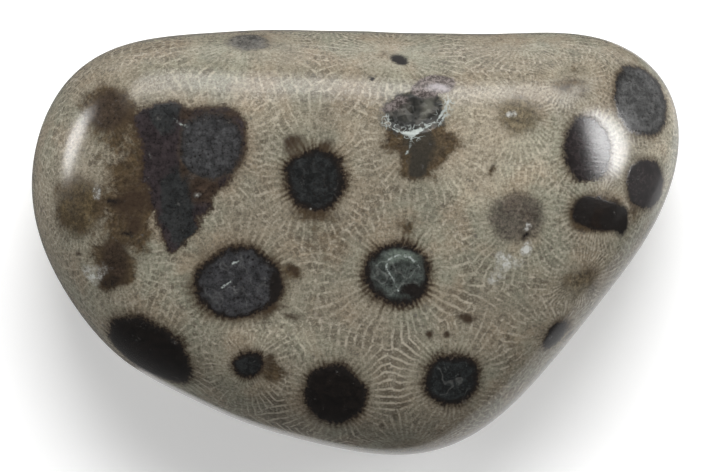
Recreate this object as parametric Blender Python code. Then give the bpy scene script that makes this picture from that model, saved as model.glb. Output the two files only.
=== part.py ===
"""A polished Petoskey stone: one pebble of fossil colony coral, lying on its flattest side.

The pebble is described by a gauge, a function that says how far out a point lies compared with the
surface in the same direction: 1 on the surface, less inside. Each face of the stone has its own simple
gauge, and the edges between them are rounded by blending the gauges. An icosphere is then pushed out to
the surface. Metres, +Z up, with the origin in the middle of the footprint, on the surface it rests on.
"""

import math

import bmesh
import bpy
import numpy as np

MM = 0.001

# Overall size
LENGTH = 70.0 * MM
WIDTH = 46.0 * MM
THICKNESS = 25.0 * MM

# The outline from above, in millimetres, counter-clockwise from the right-hand tip
OUTLINE = [
    (35.0, 11.6), (33.3, 17.9), (29.5, 21.1), (22.9, 22.6), (7.0, 22.6), (-9.0, 22.9), (-23.0, 22.1),
    (-29.7, 19.1), (-33.6, 13.8), (-35.0, 7.3), (-33.8, -0.2), (-27.6, -10.5), (-14.9, -18.1),
    (-2.1, -22.4), (6.2, -22.8), (13.1, -20.3), (20.7, -13.6), (30.2, -1.3), (33.8, 6.0),
]
OUTLINE_STEPS = 24
OUTLINE_WAVES = 14

# The middle of the widest section, which the gauges are measured from
CENTRE = np.array([0.0, 2.0, 11.0]) * MM

# Half-sizes of the long, low ellipsoids that make the top face and the underside
TOP_DOME = np.array([75.0, 46.0, 14.0]) * MM
UNDER_DOME = np.array([70.0, 46.0, 12.0]) * MM
SIDE_BULGE = 24.0 * MM

# Ground faces: the direction each one looks in (azimuth from +X, tilt from the vertical, in degrees)
# and its distance from the centre
BACK_BEVEL = (86.6, 57.0, 20.3 * MM)
RIGHT_SLOPE = (12.0, 34.0, 24.0 * MM)

# How tight the rounded edges are
SHOULDER_SHARPNESS = 8.0
UNDERSIDE_SHARPNESS = 5.0
BEVEL_SHARPNESS = 24.0
SLOPE_SHARPNESS = 14.0

# Slow waves that keep the surface from being a perfect solid: height, radians per metre along X, Y
# and Z, and where the wave starts
SWELLS = [
    (0.10 * MM, (210.0, 95.0, 40.0), 0.4),
    (0.08 * MM, (-120.0, 240.0, 90.0), 2.1),
    (0.06 * MM, (330.0, -260.0, 150.0), 4.0),
]

# The crystal-lined hollow near the back edge: its middle, half-sizes, turn and depth. Faces out to a
# margin around it, in half-sizes, are cut finer.
HOLLOW_MIDDLE = np.array([6.3, 13.9]) * MM
HOLLOW_HALF_SIZE = np.array([3.4, 2.3]) * MM
HOLLOW_TURN = math.radians(8.0)
HOLLOW_DEPTH = 0.8 * MM
HOLLOW_MARGIN = 1.35
HOLLOW_CUTS = 2

# The flat that the stone rests on starts this far above the lowest point of the rounded underside
FLAT_CUT = 0.9 * MM

SPHERE_SUBDIVISIONS = 5
SHARP_ANGLE = math.radians(30.0)


def clear_scene():
    """Remove the objects that a new file starts with."""
    for thing in list(bpy.data.objects):
        bpy.data.objects.remove(thing, do_unlink=True)


def closed_curve(points, steps):
    """A closed Catmull-Rom curve through the points, as many short straight steps."""
    here = np.array(points)
    before = np.roll(here, 1, axis=0)
    after = np.roll(here, -1, axis=0)
    later = np.roll(here, -2, axis=0)
    rows = []
    for t in np.linspace(0.0, 1.0, steps, endpoint=False):
        rows.append(0.5 * (2 * here + (after - before) * t
                           + (2 * before - 5 * here + 4 * after - later) * t ** 2
                           + (3 * here - before - 3 * after + later) * t ** 3))
    return np.stack(rows, axis=1).reshape(-1, 2)


def outline_waves():
    """The outline's radius around the centre, as the strengths of a few whole waves."""
    curve = closed_curve(OUTLINE, OUTLINE_STEPS) * MM - CENTRE[:2]
    angle = np.arctan2(curve[:, 1], curve[:, 0])
    radius = np.hypot(curve[:, 0], curve[:, 1])
    order = np.argsort(angle)
    even = np.linspace(-math.pi, math.pi, 1024, endpoint=False)
    even_radius = np.interp(even, angle[order], radius[order], period=2 * math.pi)
    waves = np.arange(OUTLINE_WAVES + 1)
    turns = np.outer(even, waves)
    strength = np.where(waves == 0, 1.0, 2.0) / len(even)
    return strength * (even_radius @ np.cos(turns)), strength * (even_radius @ np.sin(turns))


COSINES, SINES = outline_waves()


def outline_radius(angle):
    """The distance from the centre to the outline, at each angle."""
    turns = np.multiply.outer(angle, np.arange(OUTLINE_WAVES + 1))
    return np.cos(turns) @ COSINES + np.sin(turns) @ SINES


def blend(gauges, sharpness):
    """The largest of several gauges, with the edges between their faces rounded."""
    return sum(gauge ** sharpness for gauge in gauges) ** (1 / sharpness)


def ground_face(offset, face):
    """The gauge of one flat face."""
    azimuth, tilt, distance = math.radians(face[0]), math.radians(face[1]), face[2]
    normal = np.array([
        math.sin(tilt) * math.cos(azimuth),
        math.sin(tilt) * math.sin(azimuth),
        math.cos(tilt),
    ])
    return np.maximum(offset @ normal, 0.0) / distance


def stone_gauge(offset):
    """How far out each offset from the centre lies, compared with the surface of the stone."""
    reach = np.hypot(offset[:, 0], offset[:, 1])
    plan = reach / outline_radius(np.arctan2(offset[:, 1], offset[:, 0]))
    sides = np.hypot(plan, offset[:, 2] / SIDE_BULGE)
    top = np.linalg.norm(offset / TOP_DOME, axis=1)
    under = np.linalg.norm(offset / UNDER_DOME, axis=1)
    upper = blend([sides, top], SHOULDER_SHARPNESS)
    upper = blend([upper, ground_face(offset, BACK_BEVEL)], BEVEL_SHARPNESS)
    upper = blend([upper, ground_face(offset, RIGHT_SLOPE)], SLOPE_SHARPNESS)
    lower = blend([sides, under], UNDERSIDE_SHARPNESS)
    rise = 0.5 + 0.5 * np.tanh(offset[:, 2] / (0.35 * CENTRE[2]))
    return lower + (upper - lower) * rise


def swell(points):
    """How far the slow waves lift the surface at each point."""
    lift = np.zeros(len(points))
    for height, waves, start in SWELLS:
        lift += height * np.sin(points @ np.array(waves) + start)
    return lift


def hollow_reach(points):
    """How far each point lies from the middle of the hollow: 1 on its rim, and far off underneath."""
    turn = np.array([
        [math.cos(HOLLOW_TURN), -math.sin(HOLLOW_TURN)],
        [math.sin(HOLLOW_TURN), math.cos(HOLLOW_TURN)],
    ])
    reach = np.linalg.norm((points[:, :2] - HOLLOW_MIDDLE) @ turn / HOLLOW_HALF_SIZE, axis=1)
    return np.where(points[:, 2] > CENTRE[2], reach, np.inf)


def hollow_depth(points):
    """How far the crystal-lined hollow sinks below the surface at each point."""
    inside = np.clip(1.0 - hollow_reach(points), 0.0, 1.0)
    return HOLLOW_DEPTH * (1.0 - (1.0 - inside) ** 2)


def surface(directions):
    """The points of the stone's surface in the given directions from its centre."""
    offset = directions * np.array([LENGTH, WIDTH, THICKNESS]) / 2
    offset = offset / stone_gauge(offset)[:, None]
    outward = offset / np.linalg.norm(offset, axis=1)[:, None]
    points = offset + CENTRE
    return points + outward * (swell(points) - hollow_depth(points))[:, None]


def refine_hollow(mesh):
    """Give the hollow smaller faces than the smooth stone around it."""
    middles = np.array([(edge.verts[0].co + edge.verts[1].co).normalized() for edge in mesh.edges])
    reach = hollow_reach(surface(middles))
    edges = [edge for edge, far in zip(mesh.edges, reach) if far < HOLLOW_MARGIN]
    bmesh.ops.subdivide_edges(mesh, edges=edges, cuts=HOLLOW_CUTS)
    bmesh.ops.triangulate(mesh, faces=mesh.faces)


def flatten_underside(mesh):
    """Cut the underside off level and close it with one flat face."""
    lowest = min(vertex.co.z for vertex in mesh.verts)
    everything = mesh.verts[:] + mesh.edges[:] + mesh.faces[:]
    bmesh.ops.bisect_plane(mesh, geom=everything, plane_co=(0.0, 0.0, lowest + FLAT_CUT),
                           plane_no=(0.0, 0.0, -1.0), clear_outer=True)
    rim = [edge for edge in mesh.edges if edge.is_boundary]
    bmesh.ops.contextual_create(mesh, geom=rim)


def fit_to_size(mesh):
    """Bring the stone to its exact overall size, centred over its origin and standing on z = 0."""
    points = np.array([vertex.co for vertex in mesh.verts])
    low, high = points.min(axis=0), points.max(axis=0)
    scale = np.array([LENGTH, WIDTH, THICKNESS]) / (high - low)
    base = np.array([(low[0] + high[0]) / 2, (low[1] + high[1]) / 2, low[2]])
    for vertex, point in zip(mesh.verts, (points - base) * scale):
        vertex.co = point


def stone_material():
    """Polished grey-brown limestone."""
    material = bpy.data.materials.new("polished_coral_limestone")
    material.use_nodes = True
    shader = material.node_tree.nodes["Principled BSDF"]
    shader.inputs["Base Color"].default_value = (0.22, 0.19, 0.145, 1.0)
    shader.inputs["Roughness"].default_value = 0.25
    shader.inputs["Metallic"].default_value = 0.0
    return material


def make_stone():
    """The whole pebble, as one closed mesh."""
    mesh = bmesh.new()
    bmesh.ops.create_icosphere(mesh, subdivisions=SPHERE_SUBDIVISIONS, radius=1.0)
    refine_hollow(mesh)
    directions = np.array([vertex.co.normalized() for vertex in mesh.verts])
    for vertex, point in zip(mesh.verts, surface(directions)):
        vertex.co = point
    flatten_underside(mesh)
    fit_to_size(mesh)
    data = bpy.data.meshes.new("petoskey_stone")
    mesh.to_mesh(data)
    mesh.free()
    data.shade_smooth()
    data.set_sharp_from_angle(angle=SHARP_ANGLE)
    data.materials.append(stone_material())
    stone = bpy.data.objects.new("petoskey_stone", data)
    bpy.context.scene.collection.objects.link(stone)
    return stone


clear_scene()
make_stone()
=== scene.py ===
# %% [markdown]
# # A polished Petoskey stone
# A Petoskey stone is a pebble cut and polished out of a fossil coral colony, Hexagonaria. Each animal of
# the colony sat in its own six-sided cup, a corallite, with thin stone walls called septa running from
# the cup's rim to its middle. Mud filled the middles, which is why they are dark "eyes".
#
# The frame comes first. It holds the solid that rests on the table, and everything made below has to
# keep to its size.

# %% Load the frame
import math
from collections import namedtuple

import bmesh
import bpy
import numpy as np
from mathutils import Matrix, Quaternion, Vector, noise as soft_noise


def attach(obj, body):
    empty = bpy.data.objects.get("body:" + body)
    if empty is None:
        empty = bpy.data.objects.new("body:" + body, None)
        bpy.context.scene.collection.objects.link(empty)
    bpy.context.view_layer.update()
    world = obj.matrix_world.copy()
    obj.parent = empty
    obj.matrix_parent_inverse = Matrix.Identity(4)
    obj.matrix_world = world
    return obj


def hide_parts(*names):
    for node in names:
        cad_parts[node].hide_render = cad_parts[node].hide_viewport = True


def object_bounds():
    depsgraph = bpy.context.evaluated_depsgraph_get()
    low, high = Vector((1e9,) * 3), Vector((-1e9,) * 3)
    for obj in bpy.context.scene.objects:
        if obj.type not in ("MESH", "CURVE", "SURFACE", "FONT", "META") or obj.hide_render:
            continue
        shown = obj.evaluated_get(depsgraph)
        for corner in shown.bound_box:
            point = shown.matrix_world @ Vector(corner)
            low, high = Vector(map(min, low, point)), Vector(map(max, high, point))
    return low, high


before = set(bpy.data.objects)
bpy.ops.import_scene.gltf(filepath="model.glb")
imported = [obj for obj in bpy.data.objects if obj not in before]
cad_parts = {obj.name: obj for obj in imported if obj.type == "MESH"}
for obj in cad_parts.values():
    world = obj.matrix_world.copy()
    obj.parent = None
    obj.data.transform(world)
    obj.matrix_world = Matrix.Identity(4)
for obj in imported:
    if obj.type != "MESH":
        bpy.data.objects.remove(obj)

MM = 0.001
STONE_NODE = "petoskey_stone"

cad_low, cad_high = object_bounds()
size = np.array(cad_high - cad_low)
print("the stone measures", [round(side / MM, 1) for side in size], "mm")

# %% [markdown]
# ## The form
# The pebble has no edges that could be drawn and extruded, so its form is a rule. A gauge says how far
# out a point lies compared with the surface in the same direction. Each ground face has its own gauge,
# and a blend of them rounds the edges between the faces. The numbers are those of the solid.

# %% The outline from above
OUTLINE = [
    (35.0, 11.6), (33.3, 17.9), (29.5, 21.1), (22.9, 22.6), (7.0, 22.6), (-9.0, 22.9), (-23.0, 22.1),
    (-29.7, 19.1), (-33.6, 13.8), (-35.0, 7.3), (-33.8, -0.2), (-27.6, -10.5), (-14.9, -18.1),
    (-2.1, -22.4), (6.2, -22.8), (13.1, -20.3), (20.7, -13.6), (30.2, -1.3), (33.8, 6.0),
]
OUTLINE_STEPS = 24
OUTLINE_WAVES = 14
OUTLINE_ANGLES = 1024
CENTRE = np.array([0.0, 2.0, 11.0]) * MM


def closed_curve(points, steps):
    """A closed Catmull-Rom curve through the points, as many short straight steps."""
    here = np.array(points)
    before = np.roll(here, 1, axis=0)
    after = np.roll(here, -1, axis=0)
    later = np.roll(here, -2, axis=0)
    rows = []
    for t in np.linspace(0.0, 1.0, steps, endpoint=False):
        rows.append(0.5 * (2 * here + (after - before) * t
                           + (2 * before - 5 * here + 4 * after - later) * t ** 2
                           + (3 * here - before - 3 * after + later) * t ** 3))
    return np.stack(rows, axis=1).reshape(-1, 2)


def outline_waves():
    """The outline's radius around the centre, as the strengths of a few whole waves."""
    curve = closed_curve(OUTLINE, OUTLINE_STEPS) * MM - CENTRE[:2]
    angle = np.arctan2(curve[:, 1], curve[:, 0])
    radius = np.hypot(curve[:, 0], curve[:, 1])
    order = np.argsort(angle)
    even = np.linspace(-math.pi, math.pi, OUTLINE_ANGLES, endpoint=False)
    even_radius = np.interp(even, angle[order], radius[order], period=2 * math.pi)
    waves = np.arange(OUTLINE_WAVES + 1)
    turns = np.outer(even, waves)
    strength = np.where(waves == 0, 1.0, 2.0) / len(even)
    return strength * (even_radius @ np.cos(turns)), strength * (even_radius @ np.sin(turns))


COSINES, SINES = outline_waves()


def outline_radius(angle):
    """The distance from the centre to the outline, at each angle."""
    turns = np.multiply.outer(angle, np.arange(OUTLINE_WAVES + 1))
    return np.cos(turns) @ COSINES + np.sin(turns) @ SINES


print("the outline reaches", round(outline_radius(np.array([0.0]))[0] / MM, 1), "mm to the right")

# %% The gauge of the whole pebble
TOP_DOME = np.array([75.0, 46.0, 14.0]) * MM
UNDER_DOME = np.array([70.0, 46.0, 12.0]) * MM
SIDE_BULGE = 24.0 * MM
BACK_BEVEL = (86.6, 57.0, 20.3 * MM)
RIGHT_SLOPE = (12.0, 34.0, 24.0 * MM)
SHOULDER_SHARPNESS = 8.0
UNDERSIDE_SHARPNESS = 5.0
BEVEL_SHARPNESS = 24.0
SLOPE_SHARPNESS = 14.0
CHANGEOVER = 0.35 * CENTRE[2]


def blend(gauges, sharpness):
    """The largest of several gauges, with the edges between their faces rounded."""
    return sum(gauge ** sharpness for gauge in gauges) ** (1 / sharpness)


def ground_face(offset, face):
    """The gauge of one flat face, given as its azimuth, its tilt from the vertical and its distance."""
    azimuth, tilt, distance = math.radians(face[0]), math.radians(face[1]), face[2]
    normal = np.array([
        math.sin(tilt) * math.cos(azimuth),
        math.sin(tilt) * math.sin(azimuth),
        math.cos(tilt),
    ])
    return np.maximum(offset @ normal, 0.0) / distance


def stone_gauge(offset):
    """How far out each offset from the centre lies, compared with the surface of the stone."""
    reach = np.hypot(offset[:, 0], offset[:, 1])
    plan = reach / outline_radius(np.arctan2(offset[:, 1], offset[:, 0]))
    sides = np.hypot(plan, offset[:, 2] / SIDE_BULGE)
    top = np.linalg.norm(offset / TOP_DOME, axis=1)
    under = np.linalg.norm(offset / UNDER_DOME, axis=1)
    upper = blend([sides, top], SHOULDER_SHARPNESS)
    upper = blend([upper, ground_face(offset, BACK_BEVEL)], BEVEL_SHARPNESS)
    upper = blend([upper, ground_face(offset, RIGHT_SLOPE)], SLOPE_SHARPNESS)
    lower = blend([sides, under], UNDERSIDE_SHARPNESS)
    rise = 0.5 + 0.5 * np.tanh(offset[:, 2] / CHANGEOVER)
    return lower + (upper - lower) * rise


top_of_dome = np.array([[0.0, 0.0, TOP_DOME[2]]])
print("at the top of the dome the gauge reads", round(float(stone_gauge(top_of_dome)[0]), 2))


# %% Slow swells and the crystal-lined hollow
SWELLS = [
    # height, waves along x, y and z, and where they start
    (0.10 * MM, (210.0, 95.0, 40.0), 0.4),
    (0.08 * MM, (-120.0, 240.0, 90.0), 2.1),
    (0.06 * MM, (330.0, -260.0, 150.0), 4.0),
]
HOLLOW_MIDDLE = np.array([6.3, 13.9]) * MM
HOLLOW_HALF_SIZE = np.array([3.4, 2.3]) * MM
HOLLOW_TURN = math.radians(8.0)
HOLLOW_DEPTH = 0.8 * MM
FAR_OFF = 9.0
FLAT_CUT = 0.9 * MM


def swell(points):
    """How far the slow waves lift the surface at each point."""
    lift = np.zeros(len(points))
    for height, waves, start in SWELLS:
        lift += height * np.sin(points @ np.array(waves) + start)
    return lift


def hollow_reach(points):
    """How far each point lies from the middle of the hollow: 1 on its rim, and far off underneath."""
    turn = np.array([
        [math.cos(HOLLOW_TURN), -math.sin(HOLLOW_TURN)],
        [math.sin(HOLLOW_TURN), math.cos(HOLLOW_TURN)],
    ])
    reach = np.linalg.norm((points[:, :2] - HOLLOW_MIDDLE) @ turn / HOLLOW_HALF_SIZE, axis=1)
    return np.where(points[:, 2] > CENTRE[2], reach, FAR_OFF)


def hollow_depth(points):
    """How far the floor of the hollow sinks below the surface at each point."""
    inside = np.clip(1.0 - hollow_reach(points), 0.0, 1.0)
    return HOLLOW_DEPTH * (1.0 - (1.0 - inside) ** 2)


print("the hollow is", HOLLOW_HALF_SIZE * 2 / MM, "mm across and", HOLLOW_DEPTH / MM, "mm deep")


# %% Crystals on the floor of the hollow
CRYSTALS = 60
CRYSTAL_TOPS = (0.10, 0.40)
CRYSTAL_SLOPES = (0.35, 0.8)
CRYSTAL_RISE = 4.0

crystal_rng = np.random.default_rng(11)
crystal_places = HOLLOW_MIDDLE + crystal_rng.uniform(-1.0, 1.0, (CRYSTALS, 2)) * HOLLOW_HALF_SIZE
crystal_turns = crystal_rng.uniform(0.0, math.pi / 3, CRYSTALS)
crystal_tops = crystal_rng.uniform(*CRYSTAL_TOPS, CRYSTALS) * MM
crystal_slopes = crystal_rng.uniform(*CRYSTAL_SLOPES, CRYSTALS)


def crystal_height(points):
    """The height of the six-sided crystal points above the floor of the hollow."""
    height = np.zeros(len(points))
    near = hollow_reach(points) < 1.0
    tallest = np.zeros(int(near.sum()))
    for middle, turn, top, slope in zip(crystal_places, crystal_turns, crystal_tops, crystal_slopes):
        offset = points[near][:, :2] - middle
        reach = np.zeros(len(offset))
        for side in range(3):
            face = turn + side * math.pi / 3
            reach = np.maximum(reach, np.abs(offset @ np.array([math.cos(face), math.sin(face)])))
        tallest = np.maximum(tallest, top - slope * reach)
    height[near] = tallest * np.clip((1.0 - hollow_reach(points[near])) * CRYSTAL_RISE, 0.0, 1.0)
    return height


print(CRYSTALS, "crystal points stand on the floor of the hollow")

# %% The surface in any direction


def surface(directions):
    """The points of the stone's surface in the given directions from its centre."""
    offset = directions * size / 2
    offset = offset / stone_gauge(offset)[:, None]
    outward = offset / np.linalg.norm(offset, axis=1)[:, None]
    points = offset + CENTRE
    lift = swell(points) - hollow_depth(points) + crystal_height(points)
    return points + outward * lift[:, None]


straight_up = surface(np.array([[0.0, 0.0, 1.0]]))
print("above its centre the stone is", round(straight_up[0, 2] / MM, 1), "mm high before it is fitted")


# %% [markdown]
# An icosphere has near-equal triangles all over and no poles, so pushing it out to the surface gives a
# mesh that is equally fine everywhere. The underside is pressed flat where the stone rests, and the
# whole is brought to the exact box of the solid.

# %% Make the pebble
SPHERE_SUBDIVISIONS = 7
TOP_HEIGHT = 20.0 * MM
FINER_WITHIN = 1.35
FINEST_WITHIN = 1.25
REFINEMENTS = [
    lambda points: points[:, 2] > TOP_HEIGHT,
    lambda points: hollow_reach(points) < FINER_WITHIN,
    lambda points: hollow_reach(points) < FINEST_WITHIN,
]


def split_faces(mesh, chosen):
    """Split the triangles around the chosen vertices into smaller ones."""
    edges = {edge for vertex, picked in zip(mesh.verts, chosen) if picked for edge in vertex.link_edges}
    bmesh.ops.subdivide_edges(mesh, edges=list(edges), cuts=1, use_grid_fill=True)
    bmesh.ops.triangulate(mesh, faces=[face for face in mesh.faces if len(face.verts) > 3])


def make_pebble():
    """The pebble, in the box of the solid that it stands for, and finer where it has finer detail."""
    mesh = bmesh.new()
    bmesh.ops.create_icosphere(mesh, subdivisions=SPHERE_SUBDIVISIONS, radius=1.0)
    points = surface(np.array([vertex.co.normalized() for vertex in mesh.verts]))
    for needs_detail in REFINEMENTS:
        split_faces(mesh, needs_detail(points))
        points = surface(np.array([vertex.co.normalized() for vertex in mesh.verts]))
    points[:, 2] = np.maximum(points[:, 2], points[:, 2].min() + FLAT_CUT)
    low, high = points.min(axis=0), points.max(axis=0)
    points = (points - low) / (high - low) * size + np.array(cad_low)
    for vertex, point in zip(mesh.verts, points):
        vertex.co = point
    data = bpy.data.meshes.new("polished_stone")
    mesh.to_mesh(data)
    mesh.free()
    data.shade_smooth()
    pebble = bpy.data.objects.new("polished_stone", data)
    bpy.context.scene.collection.objects.link(pebble)
    return pebble


stone = make_pebble()
print("the pebble has", len(stone.data.polygons), "triangles")

# %% Read the mesh back


def read_mesh(data, kind, field, width=3):
    """One field of a mesh's vertices or polygons, as an array with a row for each."""
    things = getattr(data, kind)
    values = np.zeros(len(things) * width, np.float32)
    things.foreach_get(field, values)
    return values.reshape(-1, width).astype(float)


vertices = read_mesh(stone.data, "vertices", "co") / MM
face_centres = read_mesh(stone.data, "polygons", "center") / MM
face_normals = read_mesh(stone.data, "polygons", "normal")
crystal_faces = hollow_reach(face_centres * MM) < 1.0
stone.data.polygons.foreach_set("use_smooth", ~crystal_faces)
print(int(crystal_faces.sum()), "flat faces on the crystals")

# %% [markdown]
# ## The corallites
# Lengths in the coral are in millimetres, because that is what it is measured in. Each corallite has a
# place, the half-sizes and turn of its dark eye, a name for the eye's filling, how strongly its septa
# show, and a growth: a larger one pushes its walls further out.

# %% The corallites that have a known place
Corallite = namedtuple("Corallite", "x y wide tall turn filling septa growth")

CORALLITES = [
    # the middle of the top face
    Corallite(-15.5, 10.3, 3.5, 3.9, 0, "grainy_slate", 0.6, 1.0),
    Corallite(-4.2, 6.9, 3.25, 3.3, 0, "charcoal", 0.7, 1.0),
    Corallite(-12.7, -4.3, 4.7, 3.8, 8, "slate", 0.6, 1.05),
    Corallite(4.5, -3.3, 3.5, 3.3, 0, "green_slate", 0.9, 1.1),
    Corallite(7.2, 11.0, 0.8, 0.8, 0, "bare", 0.7, 0.9),
    Corallite(17.2, 2.7, 3.0, 2.8, 0, "ash", 0.65, 0.95),
    Corallite(17.5, 13.5, 2.2, 2.1, 0, "haze", 0.65, 0.9),
    # along the front edge
    Corallite(-22.4, -12.1, 5.1, 4.4, -26, "ink", 0.6, 1.05),
    Corallite(-11.4, -13.1, 1.7, 1.6, 40, "charcoal", 0.9, 0.75),
    Corallite(-2.2, -16.4, 3.4, 3.5, 0, "ink", 1.0, 1.0),
    Corallite(10.3, -14.7, 3.1, 2.9, 0, "speckled_ink", 1.0, 1.0),
    Corallite(21.4, -10.1, 1.8, 1.8, 0, "ink", 1.0, 1.0),
    # the blunt end
    Corallite(30.9, 15.5, 3.9, 3.8, 17, "grey", 0.4, 0.8),
    Corallite(24.9, 9.9, 2.95, 3.5, -5, "maroon_ink", 0.4, 0.9),
    Corallite(31.3, 6.1, 3.0, 2.7, -18, "maroon_ink", 0.4, 0.75),
    Corallite(26.0, 3.1, 3.0, 1.8, -6, "umber_ink", 0.45, 0.9),
    Corallite(24.0, -4.1, 2.0, 1.5, 0, "faint", 0.9, 0.85),
    # the narrow end
    Corallite(-29.9, 3.8, 2.6, 3.0, 0, "olive", 0.4, 0.8),
    Corallite(-25.8, -2.0, 1.5, 2.2, -8, "umber", 0.5, 0.8),
    Corallite(-26.4, 14.2, 2.2, 2.2, 0, "umber", 0.4, 0.8),
    # the bevel along the back
    Corallite(-11.4, 21.6, 2.3, 2.1, 0, "smoke", 0.7, 1.05),
    Corallite(3.9, 20.2, 0.3, 0.3, 0, "bare", 0.9, 1.0),
    Corallite(17.9, 21.5, 0.6, 0.6, 0, "bare", 0.9, 1.0),
    Corallite(22.9, 17.3, 1.3, 0.9, 0, "bare", 0.6, 0.8),
]
print(len(CORALLITES), "corallites have a known place")

# %% [markdown]
# The top shows what the stone is known for, but the coral goes right through it. The sides and the
# underside get corallites of the same kinds, spread by adding the next one where the largest gap is.

# %% Fill the rest of the surface with corallites
SPACING = 10.5
TOP_FACES = 0.45
RIM_FACES = -0.25
RIM_FILLINGS = ["bare", "faint"]
UNDER_FILLINGS = ["ink", "charcoal", "slate", "umber_ink", "olive", "ash", "faint", "bare"]

EYE_WIDTHS = (1.8, 3.8)
EYE_SHAPES = (0.8, 1.15)
EYE_TURNS = (-60, 60)
SEPTA_STRENGTHS = (0.6, 1.0)
GROWTHS = (0.9, 1.1)

rng = np.random.default_rng(7)


def face_under(x, y):
    """The upward face that lies under a place on the plan."""
    apart = np.hypot(face_centres[:, 0] - x, face_centres[:, 1] - y)
    return int(np.argmin(np.where(face_normals[:, 2] > 0, apart, np.inf)))


def spread_over_gaps(taken):
    """Faces for more corallites, each in the middle of the largest gap that is left."""
    gap = np.where(face_normals[:, 2] > TOP_FACES, 0.0, np.inf)
    for face in taken:
        gap = np.minimum(gap, np.linalg.norm(face_centres - face_centres[face], axis=1))
    added = []
    while gap.max() > SPACING:
        face = int(np.argmax(gap))
        added.append(face)
        gap = np.minimum(gap, np.linalg.norm(face_centres - face_centres[face], axis=1))
    return added


corallite_faces = [face_under(one.x, one.y) for one in CORALLITES]
corallites = list(CORALLITES)
for face in spread_over_gaps(corallite_faces):
    wide = rng.uniform(*EYE_WIDTHS)
    fillings = RIM_FILLINGS if face_normals[face][2] > RIM_FACES else UNDER_FILLINGS
    corallites.append(Corallite(
        x=face_centres[face][0],
        y=face_centres[face][1],
        wide=wide,
        tall=wide * rng.uniform(*EYE_SHAPES),
        turn=rng.uniform(*EYE_TURNS),
        filling=str(rng.choice(fillings)),
        septa=rng.uniform(*SEPTA_STRENGTHS),
        growth=rng.uniform(*GROWTHS),
    ))
    corallite_faces.append(face)
print(len(corallites) - len(CORALLITES), "more corallites fill the gaps")

# %% [markdown]
# A septum is a straight thin line that runs to the middle of its corallite. Painting such lines on the
# mesh would need millions of points. Instead every face remembers the three corallites nearest to it,
# and the material works out the pattern between them at each point of the surface.

# %% What fills the eyes
FILLINGS = {
    # colour of the eye, how far it covers the coral, brown halo, dark fringe, threads, dark rim
    "ink": ((0.007, 0.005, 0.004), 1.0, 0.9, 0.30, 0.0, 1.0),
    "speckled_ink": ((0.015, 0.017, 0.017), 1.0, 0.9, 0.30, 0.35, 1.0),
    "charcoal": ((0.014, 0.015, 0.015), 1.0, 1.0, 0.45, 0.05, 1.0),
    "slate": ((0.034, 0.034, 0.036), 1.0, 1.0, 0.25, 0.18, 1.0),
    "grainy_slate": ((0.039, 0.039, 0.040), 1.0, 0.5, 0.20, 0.0, 0.6),
    "green_slate": ((0.046, 0.053, 0.048), 1.0, 1.0, 0.60, 0.35, 1.0),
    "grey": ((0.050, 0.050, 0.049), 1.0, 0.9, 0.20, 0.05, 0.7),
    "maroon_ink": ((0.016, 0.012, 0.012), 1.0, 0.9, 0.22, 0.0, 0.5),
    "umber_ink": ((0.010, 0.006, 0.004), 1.0, 1.0, 0.20, 0.0, 0.8),
    "umber": ((0.034, 0.023, 0.016), 0.7, 0.6, 0.20, 0.0, 0.3),
    "olive": ((0.064, 0.046, 0.021), 0.68, 0.3, 0.15, 0.02, 0.0),
    "ash": ((0.064, 0.052, 0.044), 0.76, 0.2, 0.15, 0.02, 0.0),
    "smoke": ((0.090, 0.086, 0.078), 0.88, 0.3, 0.15, 0.0, 0.0),
    "haze": ((0.120, 0.096, 0.058), 0.75, 0.2, 0.15, 0.0, 0.0),
    "faint": ((0.150, 0.120, 0.075), 0.45, 0.2, 0.15, 0.02, 0.0),
    "bare": ((0.180, 0.150, 0.110), 0.1, 0.1, 0.10, 0.0, 0.0),
}
print(len(FILLINGS), "kinds of filling")

# %% Directions along the surface
MOSTLY_ALONG_X = 0.9


def tangent_axes(normal, turn):
    """Two unit directions along the surface, the first one turned away from +X by an angle."""
    along = np.array([1.0, 0.0, 0.0]) if abs(normal[0]) < MOSTLY_ALONG_X else np.array([0.0, 1.0, 0.0])
    along = along - normal * (along @ normal)
    along /= np.linalg.norm(along)
    across = np.cross(normal, along)
    angle = math.radians(turn)
    return (along * math.cos(angle) + across * math.sin(angle),
            across * math.cos(angle) - along * math.sin(angle))


centres = face_centres[corallite_faces]
axes = [tangent_axes(face_normals[face], one.turn) for face, one in zip(corallite_faces, corallites)]
growths = np.array([one.growth for one in corallites])
alongs = np.array([along for along, _ in axes]) / growths[:, None]
acrosses = np.array([across for _, across in axes]) / growths[:, None]
print("every corallite has two directions along the surface, shorter where it has grown more")

# %% Give every face its three nearest corallites
DEPTH_WEIGHT = 0.45


def corallite_distance(points, number):
    """The distance from a corallite's middle, with less weight on depth and more on small growth."""
    offset = points - centres[number]
    flat = (offset @ alongs[number]) ** 2 + (offset @ acrosses[number]) ** 2
    full = (offset ** 2).sum(axis=1) / growths[number] ** 2
    return np.sqrt((1 - DEPTH_WEIGHT ** 2) * flat + DEPTH_WEIGHT ** 2 * full)


distances = np.stack([corallite_distance(face_centres, number) for number in range(len(corallites))])
nearest = np.argsort(distances, axis=0)[:3]


def store_on_faces(name, values):
    """Keep a vector for every face of the stone."""
    layer = stone.data.attributes.new(name, "FLOAT_VECTOR", "FACE")
    layer.data.foreach_set("vector", np.ascontiguousarray(values, np.float32).ravel())


for rank in range(3):
    store_on_faces(f"middle_{rank}", centres[nearest[rank]])
    store_on_faces(f"along_{rank}", alongs[nearest[rank]])
    store_on_faces(f"across_{rank}", acrosses[nearest[rank]])

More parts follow.
